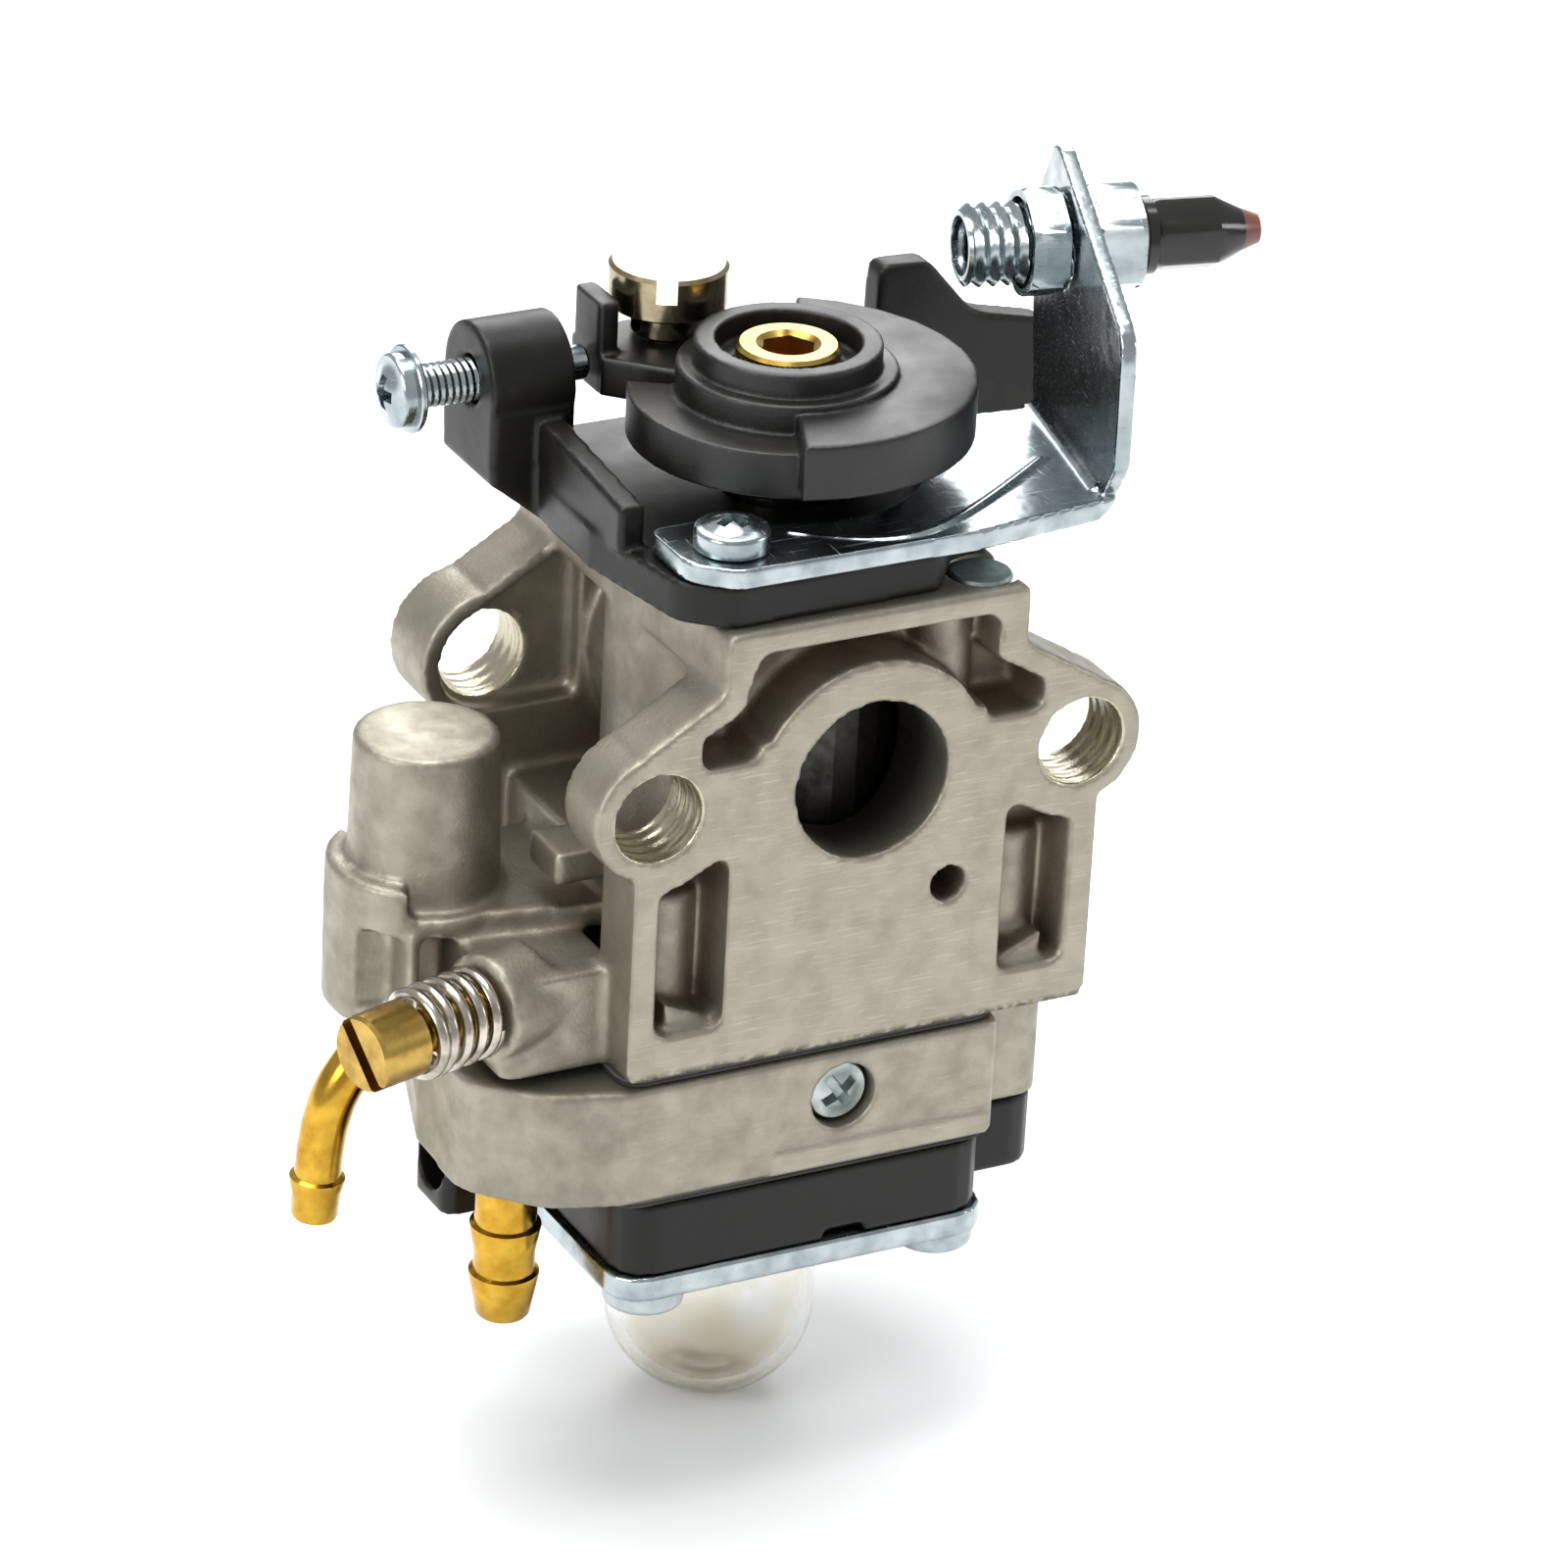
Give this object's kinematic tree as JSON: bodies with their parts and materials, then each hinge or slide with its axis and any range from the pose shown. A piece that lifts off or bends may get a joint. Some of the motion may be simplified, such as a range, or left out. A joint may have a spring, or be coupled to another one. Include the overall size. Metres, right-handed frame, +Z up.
{
  "type": "small two-stroke carburetor",
  "caption": "Rotary-valve diaphragm carburetor with twin flanges, cable lever and bracket, idle and mixture screws, fuel pump, primer bulb and brass fuel nipples",
  "frame": {"origin": "centre of the bore on the engine flange face", "axes": "+X to the right seen from the engine side, +Y along the bore from the engine flange to the air-cleaner flange, +Z up along the throttle's axis"},
  "size_m": [0.0686, 0.031, 0.0877],
  "materials": {
    "die_cast": "bead-blasted die casting with machined faces",
    "blank_plug": "dull pressed-in disc",
    "brass": "turned brass",
    "machined_steel": "machined",
    "spring_steel": "bright drawn wire",
    "black_plastic": "satin glass-filled nylon",
    "nickel": "bright nickel plate over brass",
    "zinc": "bright blue-white zinc plate",
    "black_rubber": "glossy black rubber",
    "gasket": "gasket fibre",
    "diaphragm": "coated fabric",
    "dark_rubber": "moulded rubber",
    "milky_bulb": "translucent moulded bulb"
  },
  "bodies": {
    "body": {"carb_body": "die_cast", "body_plug": "blank_plug", "main_nozzle": "brass", "throttle_cover": "black_plastic", "cable_bracket": "zinc", "bracket_screw_front": "zinc", "bracket_screw_rear": "zinc", "adjuster_nut_inner": "zinc", "adjuster_nut_outer": "zinc", "mixture_spring": "spring_steel", "pump_gasket": "gasket", "pump_diaphragm": "diaphragm", "pump_body": "die_cast", "pump_plug_screw": "zinc", "inlet_screen": "machined_steel", "lever_pin": "machined_steel", "lever_spring": "spring_steel", "inlet_nipple": "brass", "return_nipple": "brass", "metering_gasket": "gasket", "metering_diaphragm": "diaphragm", "purge_body": "black_plastic", "duckbill_valve": "dark_rubber", "bulb_plate": "zinc", "cover_screw_1": "zinc", "cover_screw_2": "zinc", "cover_screw_3": "zinc", "cover_screw_4": "zinc", "inlet_needle": "machined_steel"},
    "throttle_carrier": {"thrust_ring": "machined_steel", "return_spring": "spring_steel"},
    "throttle": {"throttle_barrel": "machined_steel", "throttle_lever": "black_plastic", "needle_adjuster": "brass", "jet_needle": "machined_steel"},
    "swivel": {"cable_swivel": "nickel"},
    "idle_screw": {"idle_screw": "zinc"},
    "mixture_screw": {"mixture_screw": "brass"},
    "adjuster": {"cable_adjuster": "zinc", "cable_boot": "black_rubber"},
    "bulb": {"primer_bulb": "milky_bulb"},
    "metering_lever": {"metering_lever": "machined_steel"}
  },
  "joints": [
    {"name": "throttle_lift", "type": "slide", "parent": "body", "child": "throttle_carrier", "axis": [0, 0, 1], "range_m": [0, 0.0021], "stiffness_N_per_m": 250, "springref_m": -0.004, "deforming": ["return_spring"]},
    {"name": "throttle_turn", "type": "hinge", "parent": "throttle_carrier", "child": "throttle", "pos_m": [0, 0.0147, 0], "axis": [0, 0, -1], "range_deg": [0, 75], "stiffness_Nm_per_rad": 0.006, "springref_deg": -17.19},
    {"name": "swivel_turn", "type": "hinge", "parent": "throttle", "child": "swivel", "pos_m": [-0.0035, 0.0253, 0.024], "axis": [0, 0, 1], "continuous": true},
    {"name": "idle_screw_turn", "type": "hinge", "parent": "body", "child": "idle_screw", "pos_m": [-0.02, 0.025, 0.021], "axis": [1, 0, 0], "range_deg": [-540, 540]},
    {"name": "mixture_screw_turn", "type": "hinge", "parent": "body", "child": "mixture_screw", "pos_m": [-0.025, 0.0057, -0.0146], "axis": [0.9613, 0.2756, 0], "range_deg": [-540, 540]},
    {"name": "cable_adjuster_turn", "type": "hinge", "parent": "body", "child": "adjuster", "pos_m": [0.0204, 0.0141, 0.0295], "axis": [0.9781, -0.2079, 0], "range_deg": [-540, 540]},
    {"name": "bulb_press", "type": "slide", "parent": "body", "child": "bulb", "axis": [0, 0, 1], "range_m": [0, 0.006], "stiffness_N_per_m": 150, "deforming": ["primer_bulb"]},
    {"name": "metering_lever_rock", "type": "hinge", "parent": "body", "child": "metering_lever", "pos_m": [-0.006, 0.0152, -0.0263], "axis": [0, -1, 0], "range_deg": [0, 4]}
  ]
}
